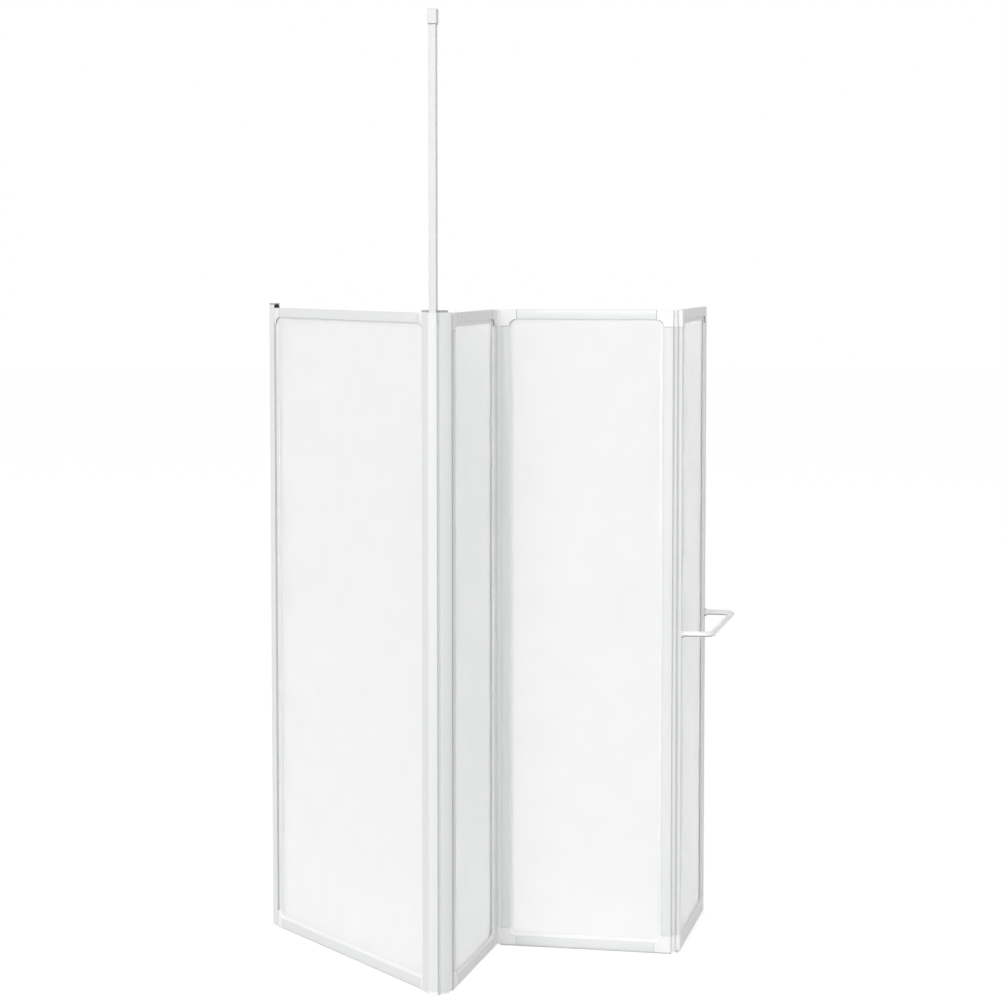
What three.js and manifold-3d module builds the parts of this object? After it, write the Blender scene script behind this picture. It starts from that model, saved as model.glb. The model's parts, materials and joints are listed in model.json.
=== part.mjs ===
// Folding bath screen: a fixed side panel, a corner post with a pole up to the
// ceiling, and three hinged panels that fold like a concertina.
//
// Millimetres, +Z up. The origin is the foot of the post's axis, level with the
// lower edge of the seals. The fixed panel runs from the wall towards +X. Drawn
// straight, the folding panels run along +Y and their outer faces look along +X.
//
// Each panel is built in its own frame: x along its width from its left edge or
// hinge axis, y from its outer face to its inner face with 0 in the middle, z up.

import * as THREE from 'three';
import { mergeVertices } from 'three/addons/utils/BufferGeometryUtils.js';
import Module from 'manifold-3d';

const wasm = await Module();
wasm.setup();

// Overall sizes
const SIDE_LENGTH = 690; // wall to the axis of the post
const PANEL_PITCH = 388; // one hinge axis to the next
const SCREEN_HEIGHT = 1400; // top of the frames
const CEILING_HEIGHT = 2010; // top of the ceiling cap

// Fold angles at rest, in degrees
const SWING_ANGLE = 43.7; // second panel, from the straight line towards the bath
const OUTER_FOLD_ANGLE = 88.5; // third panel, from the line of the second
const INNER_FOLD_ANGLE = 90; // fourth panel, from the line of the third

// Clearances
const GAP = 0.3; // between pieces that touch
const OVERRUN = 2; // how far a cut runs past what it cuts
const BITE = 1; // how deep joined solids run into each other

// Frame profile, the same for stiles and rails
const FRAME_WIDTH = 20.5;
const FRAME_THICKNESS = 12;
const FRAME_WALL = 1.4;
const EDGE_RADIUS = 1;
const GROOVE_DEPTH = 9; // glazing groove
const GROOVE_MOUTH = 5.4;
const GROOVE_LIP = 2;
const KEY_WIDTH = 3; // slot along the outer edge, which holds the seal
const KEY_DEPTH = 2;
const RECESS_DEPTH = 1.2; // shadow line on the stile beside the wall

// Moulded corner pieces
const CORNER_SIZE = 36;
const CORNER_FILLET = 15;
const CORNER_EDGE_RADIUS = 3;
const SPIGOT_LENGTH = 14;

// Pane and its gasket
const PANE_THICKNESS = 3;
const GASKET_THICKNESS = 1.5; // in the groove
const GASKET_HOLD = 5; // how far it reaches into the groove
const BEAD_WIDTH = 2.5; // the part that shows
const BEAD_HEIGHT = 2.7;

// Bottom seals
const SEAL_HEIGHT = 3.7;
const SEAL_WIDTH = 9;
const SEAL_FOOT_WIDTH = 4;
const SEAL_FLANK = 1.2; // height of its upright sides

// Hinges
const HINGE_REACH = 4.5; // hinge axis to the edge of a frame
const HINGE_PROUD = 1; // hinge axis outside the face of the frames
const BARREL_RADIUS = 4;
const ROD_RADIUS = 1.6;
const WEB_THICKNESS = 2.8;
const EAR_HEIGHT = 13;
const ROD_INSET = 1; // end of a rod below the end of its ear

// Wall profile
const WALL_PROFILE_DEPTH = 20;
const WALL_PROFILE_RISE = 7; // above the top of the frames
const CHANNEL_WALL = 1.4;
const CHANNEL_CLEARANCE = 0.4; // between a channel's lips and the panel in it
const TONGUE_DEPTH = 14.5; // how far the panel reaches into the wall profile
const CAP_THICKNESS = 2.8;
const CAP_RIB_THICKNESS = 1.2;
const CAP_RIB_DEPTH = 4;

// Rubber stop in the open top of the wall profile
const STOP_WIDTH = 7.5;
const STOP_NOSE_LENGTH = 6;
const STOP_NOSE_HEIGHT = 8.5;
const STOP_NOSE_RADIUS = 3.5;

// Corner post
const POST_RISE = 1.7; // above the top of the frames
const CHAMBER_WALL = 0.8;
const NECK_WIDTH = 9.6;
const FLANGE_START = 12; // hinge flange, from the axis of the post
const FLANGE_END = 30.6;
const POST_HINGE_REACH = 4.4; // end of the flange to the first hinge axis
const COVER_CLEARANCE = 0.5; // end of the lip in front of that hinge to the straightened panel
const COVER_RADIUS = 0.5;
const POST_CAP_THICKNESS = 4;
const PLUG_DEPTH = 8;
const FOOT_COLLAR_HEIGHT = 9;
const FOOT_COLLAR_WALL = 1;

// Ceiling pole
const POLE_SIDE = 15.5;
const POLE_WALL = 1.5;
const POLE_RADIUS = 0.8;
const POLE_INSERT = 500; // length of pole inside the post
const CEILING_CAP_SIDE = 19.5;
const CEILING_CAP_HEIGHT = 30;
const CEILING_CAP_CHAMFER = 1.5;
const CEILING_SPIGOT = 20;

// Screws
const SCREW_RADIUS = 2;
const SCREW_HEAD_RADIUS = 3.8;
const SCREW_HEAD_HEIGHT = 2.2;
const SCREW_HEAD_RIM = 0.8;
const LOCK_SCREW_LENGTH = 7; // under the head
const SCREW_TIP = 0.6;
const CROSS_LENGTH = 4;
const CROSS_WIDTH = 0.9;
const CROSS_DEPTH = 1.2;
const LOCK_SCREW_INSET = 120; // from either end of the fixed panel's stile
const POLE_SCREW_DROP = 18; // below the top of the post
const POLE_SCREW_SHIFT = 2.5; // off the middle of the chamber's face, away from the hinge flange

// Towel rail on the last panel
const RAIL_RADIUS = 6.25;
const RAIL_HEIGHT = 700;
const RAIL_STANDOFF = 65; // face of the panel to the bar's axis
const RAIL_BEND = 22;
const RAIL_FLANGE_RADIUS = 9.5;
const RAIL_FLANGE_THICKNESS = 4;

// Facets
const EDGE_SEGMENTS = 2;
const FILLET_SEGMENTS = 6;
const BARREL_SIDES = 16;
const BORE_SIDES = 12;
const SCREW_SIDES = 12;
const SQUARE_SIDES = 4;
const RAIL_SIDES = 12;
const RAIL_STEPS = 72;
const ROUND_SHARE = 0.5523; // how far a curve's handles reach towards a rounded corner

// Sizes that follow from those above
const HALF_FRAME = FRAME_THICKNESS / 2;
const HALF_MOUTH = GROOVE_MOUTH / 2;
const GROOVE_FLOOR = FRAME_WIDTH - GROOVE_DEPTH;
const HALF_CHAMBER = HALF_FRAME - RECESS_DEPTH - FRAME_WALL;
const CHAMBER_START = KEY_DEPTH + FRAME_WALL;
const CHAMBER_END = GROOVE_FLOOR - FRAME_WALL;
const FRAME_BASE = SEAL_HEIGHT + GAP;
const WALL_PROFILE_TOP = SCREEN_HEIGHT + WALL_PROFILE_RISE;
const POST_TOP = SCREEN_HEIGHT + POST_RISE;
const PANE_FACE = GAP - HALF_MOUTH + GASKET_THICKNESS + GAP;
const HINGE_OFFSET = HALF_FRAME + HINGE_PROUD;
const EAR_TOP = SCREEN_HEIGHT - EAR_HEIGHT;
const EAR_BOTTOM = FRAME_BASE + EAR_HEIGHT;
const BORE_RADIUS = ROD_RADIUS + GAP;
const HALF_CHANNEL = HALF_FRAME + CHANNEL_CLEARANCE;
const HALF_PROFILE = HALF_CHANNEL + CHANNEL_WALL;
const WALL_X = -SIDE_LENGTH;
const WALL_LIP_X = WALL_X + WALL_PROFILE_DEPTH;
const POLE_BORE_SIDE = POLE_SIDE + 2 * GAP;
const CHAMBER_SIDE = POLE_BORE_SIDE + 2 * CHAMBER_WALL;
const CHAMBER_REACH = CHAMBER_SIDE * Math.SQRT1_2;
const SIDE_PANEL_START = WALL_LIP_X - TONGUE_DEPTH;
const SIDE_PANEL_END = -CHAMBER_REACH - GAP;
const POST_LIP_REACH = CHAMBER_REACH + GAP + FRAME_WIDTH;
const POST_HINGE_X = FLANGE_END + POST_HINGE_REACH;
const POLE_TOP = CEILING_HEIGHT - CEILING_CAP_HEIGHT - GAP;
const POLE_BOTTOM = SCREEN_HEIGHT - POLE_INSERT;
const BAR_Y = -HALF_FRAME - RAIL_STANDOFF;

// Materials
const finish = (color, roughness, metalness = 0) => ({ color, roughness, metalness });
const FINISHES = {
  profile: finish(0xe6e8e6, 0.38, 0.1),
  moulding: finish(0xf3f4f3, 0.45),
  cap: finish(0xa6a8a7, 0.6),
  pane: finish(0xeef1ef, 0.3),
  gasket: finish(0xe2e4e2, 0.6),
  seal: finish(0xdcdfdc, 0.55),
  rubber: finish(0x1c1c1c, 0.8),
  steel: finish(0xb8babc, 0.3, 1),
};

// Turns a three.js geometry into a solid that can be joined and cut.
function toSolid(geometry) {
  const bare = geometry.clone();
  bare.deleteAttribute('normal');
  bare.deleteAttribute('uv');
  const welded = mergeVertices(bare);
  const mesh = new wasm.Mesh({
    numProp: 3,
    vertProperties: new Float32Array(welded.attributes.position.array),
    triVerts: new Uint32Array(welded.index.array),
  });
  return new wasm.Manifold(mesh);
}

function toGeometry(solid) {
  const mesh = solid.getMesh();
  const geometry = new THREE.BufferGeometry();
  geometry.setAttribute('position', new THREE.BufferAttribute(new Float32Array(mesh.vertProperties), 3));
  geometry.setIndex(new THREE.BufferAttribute(new Uint32Array(mesh.triVerts), 1));
  geometry.computeVertexNormals();
  return geometry;
}

function makeMesh(name, solid, finishName) {
  const mesh = new THREE.Mesh(toGeometry(solid), new THREE.MeshStandardMaterial(FINISHES[finishName]));
  mesh.name = name;
  return mesh;
}

function join(solids) {
  return solids.reduce((whole, solid) => whole.add(solid));
}

// A closed outline. A point's third value, if any, is the radius of its rounded corner.
function outline(points, Outline = THREE.Shape) {
  const path = new Outline();
  points.forEach(([x, y, radius = 0], index) => {
    const corner = new THREE.Vector2(x, y);
    const before = new THREE.Vector2(...points.at(index - 1)).sub(corner).setLength(radius);
    const after = new THREE.Vector2(...points[(index + 1) % points.length]).sub(corner).setLength(radius);
    const start = corner.clone().add(before);
    const end = corner.clone().add(after);
    if (index === 0) {
      path.moveTo(start.x, start.y);
    } else {
      path.lineTo(start.x, start.y);
    }
    if (radius > 0) {
      const startHandle = start.clone().lerp(corner, ROUND_SHARE);
      const endHandle = end.clone().lerp(corner, ROUND_SHARE);
      path.bezierCurveTo(startHandle.x, startHandle.y, endHandle.x, endHandle.y, end.x, end.y);
    }
  });
  path.closePath();
  return path;
}

function rectangle(x0, x1, y0, y1, radius = 0, Outline = THREE.Shape) {
  return outline([[x0, y0, radius], [x1, y0, radius], [x1, y1, radius], [x0, y1, radius]], Outline);
}

function extrude(shape, depth, curveSegments = EDGE_SEGMENTS) {
  return new THREE.ExtrudeGeometry(shape, { depth, bevelEnabled: false, curveSegments });
}

// A shape in x and y, extruded from z0 to z1.
function upright(shape, z0, z1) {
  const geometry = extrude(shape, z1 - z0);
  geometry.translate(0, 0, z0);
  return toSolid(geometry);
}

// A shape in x and z, extruded from y0 to y1.
function slab(shape, y0, y1, curveSegments) {
  const geometry = extrude(shape, y1 - y0, curveSegments);
  geometry.rotateX(Math.PI / 2);
  geometry.translate(0, y1, 0);
  return toSolid(geometry);
}

// A shape in z and y, extruded from x0 to x1.
function bar(shape, x0, x1) {
  const geometry = extrude(shape, x1 - x0);
  geometry.rotateX(Math.PI);
  geometry.rotateY(-Math.PI / 2);
  geometry.translate(x0, 0, 0);
  return toSolid(geometry);
}

function box(x0, x1, y0, y1, z0, z1) {
  return upright(rectangle(x0, x1, y0, y1), z0, z1);
}

function cylinder(x, y, radius, z0, z1, sides) {
  const geometry = new THREE.CylinderGeometry(radius, radius, z1 - z0, sides);
  geometry.rotateX(Math.PI / 2);
  geometry.translate(x, y, (z0 + z1) / 2);
  return toSolid(geometry);
}

// A square prism about the z axis, with its corners on the x and y axes.
function diamond(side, z0, z1, radius = 0) {
  const geometry = extrude(rectangle(-side / 2, side / 2, -side / 2, side / 2, radius), z1 - z0);
  geometry.rotateZ(Math.PI / 4);
  geometry.translate(0, 0, z0);
  return toSolid(geometry);
}

// The edge with the glazing groove, from the inner face to the outer one.
function grooveOutline(half) {
  const lip = FRAME_WIDTH - GROOVE_LIP;
  const cavity = half - FRAME_WALL;
  return [
    [FRAME_WIDTH, half, EDGE_RADIUS],
    [FRAME_WIDTH, HALF_MOUTH], [lip, HALF_MOUTH], [lip, cavity], [GROOVE_FLOOR, cavity],
    [GROOVE_FLOOR, -cavity], [lip, -cavity], [lip, -HALF_MOUTH], [FRAME_WIDTH, -HALF_MOUTH],
    [FRAME_WIDTH, -half, EDGE_RADIUS],
  ];
}

// Frame profile. Its first coordinate is 0 at the outer edge and grows towards the pane.
function frameSection() {
  const key = KEY_WIDTH / 2;
  const points = [
    [0, HALF_FRAME, EDGE_RADIUS],
    ...grooveOutline(HALF_FRAME),
    [0, -HALF_FRAME, EDGE_RADIUS],
    [0, -key], [KEY_DEPTH, -key], [KEY_DEPTH, key], [0, key],
  ];
  return { points, chambers: [[CHAMBER_START, CHAMBER_END]] };
}

// The stile beside the wall: most of it lies in the wall profile, and the strip that shows is thinner.
function tongueSection() {
  const neck = HALF_FRAME - RECESS_DEPTH;
  const points = [
    [0, HALF_FRAME, EDGE_RADIUS], [TONGUE_DEPTH, HALF_FRAME], [TONGUE_DEPTH, neck],
    ...grooveOutline(neck),
    [TONGUE_DEPTH, -neck], [TONGUE_DEPTH, -HALF_FRAME], [0, -HALF_FRAME, EDGE_RADIUS],
  ];
  return { points, chambers: [[CHAMBER_START, CHAMBER_END]] };
}

// A length of profile. Its outer edge lies at the place given, and the direction is 1 or
// -1, towards the pane. The last function extrudes a shape from a start to an end.
function profileLength({ points, chambers }, edge, direction, start, end, extruded) {
  const place = ([along, across, radius]) => [edge + direction * along, across, radius];
  const body = extruded(outline(points.map(place)), start, end);
  const bores = chambers.map(([near, far]) => extruded(
    rectangle(edge + direction * near, edge + direction * far, -HALF_CHAMBER, HALF_CHAMBER),
    start - OVERRUN, end + OVERRUN,
  ));
  return bores.reduce((hollow, bore) => hollow.subtract(bore), body);
}

// One length of hinge barrel, joined to the frame's edge and bored for the rod. The side
// is 1 where the barrel lies at the inner face and -1 where it lies at the outer face.
function addKnuckle(solid, axisX, edgeX, side, z0, z1) {
  const axisY = side * HINGE_OFFSET;
  const edge = edgeX + Math.sign(edgeX - axisX) * BITE;
  const faces = [side * (HALF_FRAME - WEB_THICKNESS), side * HALF_FRAME];
  const web = box(
    Math.min(axisX, edge), Math.max(axisX, edge), Math.min(...faces), Math.max(...faces), z0, z1,
  );
  const barrel = cylinder(axisX, axisY, BARREL_RADIUS, z0, z1, BARREL_SIDES);
  const bore = cylinder(axisX, axisY, BORE_RADIUS, z0 - OVERRUN, z1 + OVERRUN, BORE_SIDES);
  return solid.add(web).add(barrel).subtract(bore);
}

// A corner of a frame. The directions are 1 or -1, from the corner towards the pane's middle.
function cornerPiece(cornerX, cornerZ, directionX, directionZ) {
  const at = (along, up, radius) => [cornerX + directionX * along, cornerZ + directionZ * up, radius];
  const block = (along0, along1, halfThickness, up0, up1) => slab(
    outline([at(along0, up0), at(along1, up0), at(along1, up1), at(along0, up1)]),
    -halfThickness, halfThickness,
  );
  const body = slab(outline([
    at(0, 0, CORNER_EDGE_RADIUS), at(CORNER_SIZE, 0), at(CORNER_SIZE, FRAME_WIDTH),
    at(FRAME_WIDTH, FRAME_WIDTH, CORNER_FILLET), at(FRAME_WIDTH, CORNER_SIZE), at(0, CORNER_SIZE),
  ]), -HALF_FRAME, HALF_FRAME, FILLET_SEGMENTS);
  const reach = CORNER_SIZE + OVERRUN;
  const slot = block(GROOVE_FLOOR, reach, HALF_MOUTH, GROOVE_FLOOR, reach);
  const spigotEnd = CORNER_SIZE + SPIGOT_LENGTH;
  const spigotSpan = [CHAMBER_START + GAP, CHAMBER_END - GAP];
  const spigotBite = CORNER_SIZE - BITE;
  const halfSpigot = HALF_CHAMBER - GAP;
  return join([
    body.subtract(slot),
    block(spigotBite, spigotEnd, halfSpigot, ...spigotSpan),
    block(...spigotSpan, halfSpigot, spigotBite, spigotEnd),
  ]);
}

// A flat ring that follows the frame's opening: its edges lie outside the opening by the
// first distance and inside it by the second.
function openingRing(left, right, outside, inside, y0, y1) {
  const edges = (distance, Outline) => rectangle(
    left + FRAME_WIDTH + distance, right - FRAME_WIDTH - distance,
    FRAME_BASE + FRAME_WIDTH + distance, SCREEN_HEIGHT - FRAME_WIDTH - distance,
    CORNER_FILLET - distance, Outline,
  );
  const shape = edges(-outside, THREE.Shape);
  shape.holes.push(edges(inside, THREE.Path));
  return slab(shape, y0, y1, FILLET_SEGMENTS);
}

function gasket(left, right) {
  const face = PANE_FACE - GAP;
  return join([
    openingRing(left, right, GASKET_HOLD, BEAD_WIDTH, face - GASKET_THICKNESS, face),
    openingRing(left, right, -GAP, BEAD_WIDTH, face - BEAD_HEIGHT, face),
  ]);
}

function pane(left, right) {
  const inset = GROOVE_FLOOR + GAP;
  return box(
    left + inset, right - inset, PANE_FACE, PANE_FACE + PANE_THICKNESS,
    FRAME_BASE + inset, SCREEN_HEIGHT - inset,
  );
}

// The seal's rib sits in the slot under the bottom rail, between the corner pieces.
function bottomSeal(left, right, ribLeft, ribRight) {
  const half = SEAL_WIDTH / 2;
  const foot = SEAL_FOOT_WIDTH / 2;
  const flank = SEAL_HEIGHT - SEAL_FLANK;
  const rib = KEY_WIDTH / 2 - GAP;
  return join([
    bar(outline([
      [0, -foot], [flank, -half], [SEAL_HEIGHT, -half], [SEAL_HEIGHT, half], [flank, half], [0, foot],
    ]), left, right),
    bar(rectangle(SEAL_HEIGHT - BITE, FRAME_BASE + KEY_DEPTH - GAP, -rib, rib), ribLeft, ribRight),
  ]);
}

function screw(length) {
  const profile = [
    [0, -length], [SCREW_RADIUS - SCREW_TIP, -length], [SCREW_RADIUS, SCREW_TIP - length],
    [SCREW_RADIUS, 0], [SCREW_HEAD_RADIUS, 0], [SCREW_HEAD_RADIUS, SCREW_HEAD_RIM],
    [SCREW_HEAD_RADIUS - SCREW_TIP, SCREW_HEAD_HEIGHT - SCREW_TIP],
    [SCREW_HEAD_RADIUS / 2, SCREW_HEAD_HEIGHT], [0, SCREW_HEAD_HEIGHT],
  ].map(([radius, height]) => new THREE.Vector2(radius, height));
  const geometry = new THREE.LatheGeometry(profile, SCREW_SIDES);
  geometry.rotateX(Math.PI / 2);
  const long = CROSS_LENGTH / 2;
  const narrow = CROSS_WIDTH / 2;
  const z0 = SCREW_HEAD_HEIGHT - CROSS_DEPTH;
  const z1 = SCREW_HEAD_HEIGHT + OVERRUN;
  const cross = box(-long, long, -narrow, narrow, z0, z1).add(box(-narrow, narrow, -long, long, z0, z1));
  return toSolid(geometry).subtract(cross);
}

// Where a screw sits: the underside of its head is at the point, and its head looks outward.
function screwSeat(point, outward) {
  const up = new THREE.Vector3(0, 0, 1);
  const turn = new THREE.Quaternion().setFromUnitVectors(up, outward);
  return new THREE.Matrix4().compose(point, turn, new THREE.Vector3(1, 1, 1));
}

function screwHole(seat, length) {
  const height = length + GAP + OVERRUN;
  const radius = SCREW_RADIUS + GAP;
  const geometry = new THREE.CylinderGeometry(radius, radius, height, SCREW_SIDES);
  geometry.rotateX(Math.PI / 2);
  geometry.translate(0, 0, OVERRUN - height / 2);
  geometry.applyMatrix4(seat);
  return toSolid(geometry);
}

function seatedScrew(name, length, seat) {
  const mesh = makeMesh(name, screw(length), 'steel');
  mesh.applyMatrix4(seat);
  return mesh;
}

function drill(solid, holes) {
  return holes.reduce((drilled, hole) => drilled.subtract(hole), solid);
}

// A frame with its pane. The hinge sides are 1, -1 or 0, as for a knuckle, and 0 is no hinge.
function buildPanel(name, sizes) {
  const { left, right, axisX, leftSide, rightSide, leftSection, sealLeft, sealRight, holes } = sizes;
  const group = new THREE.Group();
  const add = (piece, solid, finishName) => group.add(makeMesh(`${name}_${piece}`, solid, finishName));
  const top = SCREEN_HEIGHT;
  const z0 = FRAME_BASE + CORNER_SIZE + GAP;
  const z1 = top - CORNER_SIZE - GAP;
  const x0 = left + CORNER_SIZE + GAP;
  const x1 = right - CORNER_SIZE - GAP;

  const corners = [
    ['top_left_corner', left, top, 1, -1],
    ['top_right_corner', right, top, -1, -1],
    ['bottom_left_corner', left, FRAME_BASE, 1, 1],
    ['bottom_right_corner', right, FRAME_BASE, -1, 1],
  ];
  corners.forEach(([piece, x, z, directionX, directionZ]) => {
    const isTop = directionZ < 0;
    let solid = cornerPiece(x, z, directionX, directionZ);
    if (directionX > 0 && leftSide !== 0) {
      const earZ = isTop ? [EAR_TOP, top] : [FRAME_BASE, EAR_BOTTOM];
      solid = addKnuckle(solid, 0, left + CORNER_EDGE_RADIUS, leftSide, ...earZ);
    }
    if (directionX < 0 && rightSide !== 0) {
      const barrelZ = isTop
        ? [top - CORNER_SIZE, EAR_TOP - GAP]
        : [EAR_BOTTOM + GAP, FRAME_BASE + CORNER_SIZE];
      solid = addKnuckle(solid, axisX, right, rightSide, ...barrelZ);
    }
    add(piece, solid, 'moulding');
  });

  let rightStile = profileLength(frameSection(), right, -1, z0, z1, upright);
  if (rightSide !== 0) {
    rightStile = addKnuckle(rightStile, axisX, right, rightSide, z0, z1);
  }
  add('left_stile', drill(profileLength(leftSection(), left, 1, z0, z1, upright), holes), 'profile');
  add('right_stile', drill(rightStile, holes), 'profile');
  add('top_rail', profileLength(frameSection(), top, -1, x0, x1, bar), 'profile');
  add('bottom_rail', profileLength(frameSection(), FRAME_BASE, 1, x0, x1, bar), 'profile');
  add('pane', pane(left, right), 'pane');
  add('gasket', gasket(left, right), 'gasket');
  add('seal', bottomSeal(sealLeft, sealRight, x0, x1), 'seal');
  return group;
}

// The towel rail's bar, with a flange at each end against the stiles.
function towelRail(left, right) {
  const start = -HALF_FRAME - GAP;
  const point = (x, y) => new THREE.Vector3(x, y, RAIL_HEIGHT);
  const path = new THREE.CurvePath();
  const turn = (corner, from, to) => new THREE.CubicBezierCurve3(
    from, from.clone().lerp(corner, ROUND_SHARE), to.clone().lerp(corner, ROUND_SHARE), to,
  );
  const bend = BAR_Y + RAIL_BEND;
  path.add(new THREE.LineCurve3(point(left, start), point(left, bend)));
  path.add(turn(point(left, BAR_Y), point(left, bend), point(left + RAIL_BEND, BAR_Y)));
  path.add(new THREE.LineCurve3(point(left + RAIL_BEND, BAR_Y), point(right - RAIL_BEND, BAR_Y)));
  path.add(turn(point(right, BAR_Y), point(right - RAIL_BEND, BAR_Y), point(right, bend)));
  path.add(new THREE.LineCurve3(point(right, bend), point(right, start)));
  const circle = new THREE.Shape();
  circle.absarc(0, 0, RAIL_RADIUS, 0, 2 * Math.PI);
  const tube = new THREE.ExtrudeGeometry(circle, {
    steps: RAIL_STEPS, extrudePath: path, curveSegments: RAIL_SIDES / 2, bevelEnabled: false,
  });
  const flanges = [left, right].map((x) => {
    const geometry = new THREE.CylinderGeometry(
      RAIL_FLANGE_RADIUS, RAIL_FLANGE_RADIUS, RAIL_FLANGE_THICKNESS, BARREL_SIDES,
    );
    geometry.translate(x, start - RAIL_FLANGE_THICKNESS / 2, RAIL_HEIGHT);
    return toSolid(geometry);
  });
  return join([toSolid(tube), ...flanges]);
}

function hingeRod(x, side) {
  const [z0, z1] = [FRAME_BASE + ROD_INSET, SCREEN_HEIGHT - ROD_INSET];
  return cylinder(x, side * HINGE_OFFSET, ROD_RADIUS, z0, z1, BORE_SIDES);
}

function wallProfile(holes) {
  const web = WALL_X + CHANNEL_WALL;
  const section = outline([
    [WALL_X, HALF_PROFILE], [WALL_X, -HALF_PROFILE], [WALL_LIP_X, -HALF_PROFILE, EDGE_RADIUS],
    [WALL_LIP_X, -HALF_CHANNEL], [web, -HALF_CHANNEL], [web, HALF_CHANNEL],
    [WALL_LIP_X, HALF_CHANNEL], [WALL_LIP_X, HALF_PROFILE, EDGE_RADIUS],
  ]);
  return drill(upright(section, FRAME_BASE, WALL_PROFILE_TOP), holes);
}

function wallProfileCap() {
  const seat = WALL_PROFILE_TOP + GAP;
  const plate = upright(
    outline([
      [WALL_X, HALF_PROFILE], [WALL_X, -HALF_PROFILE],
      [WALL_LIP_X, -HALF_PROFILE, EDGE_RADIUS], [WALL_LIP_X, HALF_PROFILE, EDGE_RADIUS],
    ]), seat, seat + CAP_THICKNESS,
  );
  const outer = HALF_CHANNEL - GAP;
  const inner = outer - CAP_RIB_THICKNESS;
  const rib = (y0, y1) => box(
    WALL_X + CHANNEL_WALL + GAP, WALL_LIP_X - GAP, y0, y1, WALL_PROFILE_TOP - CAP_RIB_DEPTH, seat + BITE,
  );
  return join([plate, rib(-outer, -inner), rib(inner, outer)]);
}

// Rubber stop: it lies on top of the panel inside the wall profile, and its nose shows beside the cap.
function channelStop() {
  const half = STOP_WIDTH / 2;
  const base = SCREEN_HEIGHT + GAP;
  const body = box(
    WALL_X + CHANNEL_WALL + GAP, WALL_LIP_X + BITE, -half, half, base, WALL_PROFILE_TOP - GAP,
  );
  const nose = slab(outline([
    [WALL_LIP_X + GAP, base], [WALL_LIP_X + STOP_NOSE_LENGTH, base],
    [WALL_LIP_X + STOP_NOSE_LENGTH, base + STOP_NOSE_HEIGHT, STOP_NOSE_RADIUS],
    [WALL_LIP_X + GAP, base + STOP_NOSE_HEIGHT],
  ]), -half, half);
  return body.add(nose);
}

// The post's outline, filled. It is drawn in the frame of the straight folding panels: x
// towards the first of them, y towards the fixed panel. Grown, it clears the post itself.
function postEnvelope(z0, z1, grow = 0) {
  const half = HALF_PROFILE + grow;
  const neck = NECK_WIDTH / 2 + grow;
  return join([
    diamond(CHAMBER_SIDE + 2 * grow, z0, z1),
    upright(outline([
      [-half, 0], [half, 0], [half, POST_LIP_REACH + grow, EDGE_RADIUS],
      [-half, POST_LIP_REACH + grow, EDGE_RADIUS],
    ]), z0, z1),
    box(0, FLANGE_START + BITE, -neck, neck, z0, z1),
    upright(rectangle(FLANGE_START - grow, FLANGE_END + grow, -half, half, EDGE_RADIUS), z0, z1),
  ]);
}

function flangeChamber(z0, z1, inset) {
  const half = HALF_PROFILE - CHANNEL_WALL - inset;
  const start = FLANGE_START + CHANNEL_WALL + inset;
  const end = FLANGE_END - CHANNEL_WALL - inset;
  return box(start, end, -half, half, z0, z1);
}

// The flange's outer wall runs on as a lip that covers the first hinge.
function cornerPost(holes) {
  const z0 = FRAME_BASE - OVERRUN;
  const z1 = POST_TOP + OVERRUN;
  const channel = box(
    -HALF_CHANNEL, HALF_CHANNEL, CHAMBER_REACH, POST_LIP_REACH + OVERRUN, z0, z1,
  );
  const profile = postEnvelope(FRAME_BASE, POST_TOP)
    .subtract(diamond(POLE_BORE_SIDE, z0, z1))
    .subtract(channel)
    .subtract(flangeChamber(z0, z1, 0));
  const hinged = addKnuckle(profile, POST_HINGE_X, FLANGE_END, 1, EAR_BOTTOM + GAP, EAR_TOP - GAP);
  const cover = upright(rectangle(
    FLANGE_END - EDGE_RADIUS - BITE, POST_HINGE_X + HINGE_REACH - COVER_CLEARANCE,
    -HALF_PROFILE, CHANNEL_WALL - HALF_PROFILE, COVER_RADIUS,
  ), FRAME_BASE, POST_TOP);
  return drill(hinged.add(cover), holes);
}

// The cap covers the channel and the flange, and leaves the chamber's outer face free.
function postCap() {
  const seat = POST_TOP + GAP;
  const top = seat + POST_CAP_THICKNESS;
  const free = -CHAMBER_REACH - OVERRUN;
  return postEnvelope(seat, top)
    .add(flangeChamber(POST_TOP - PLUG_DEPTH, seat + BITE, GAP))
    .subtract(diamond(POLE_BORE_SIDE, seat - OVERRUN, top + OVERRUN))
    .subtract(box(free, 0, free, 0, seat - OVERRUN, top + OVERRUN));
}

// The foot carries the post on the bath's rim. A collar wraps the pole's chamber.
function postFoot() {
  const seat = FRAME_BASE - GAP;
  const collarSide = CHAMBER_SIDE + 2 * (GAP + FOOT_COLLAR_WALL);
  const collar = diamond(collarSide, 0, FOOT_COLLAR_HEIGHT)
    .subtract(postEnvelope(seat, FOOT_COLLAR_HEIGHT + OVERRUN, GAP));
  return join([
    postEnvelope(0, seat),
    collar,
    flangeChamber(seat - BITE, FRAME_BASE + PLUG_DEPTH, GAP),
    diamond(POLE_BORE_SIDE - 2 * GAP, seat - BITE, FRAME_BASE + PLUG_DEPTH),
  ]);
}

function ceilingPole() {
  return diamond(POLE_SIDE, POLE_BOTTOM, POLE_TOP, POLE_RADIUS)
    .subtract(diamond(POLE_SIDE - 2 * POLE_WALL, POLE_BOTTOM - OVERRUN, POLE_TOP + OVERRUN));
}

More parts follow.
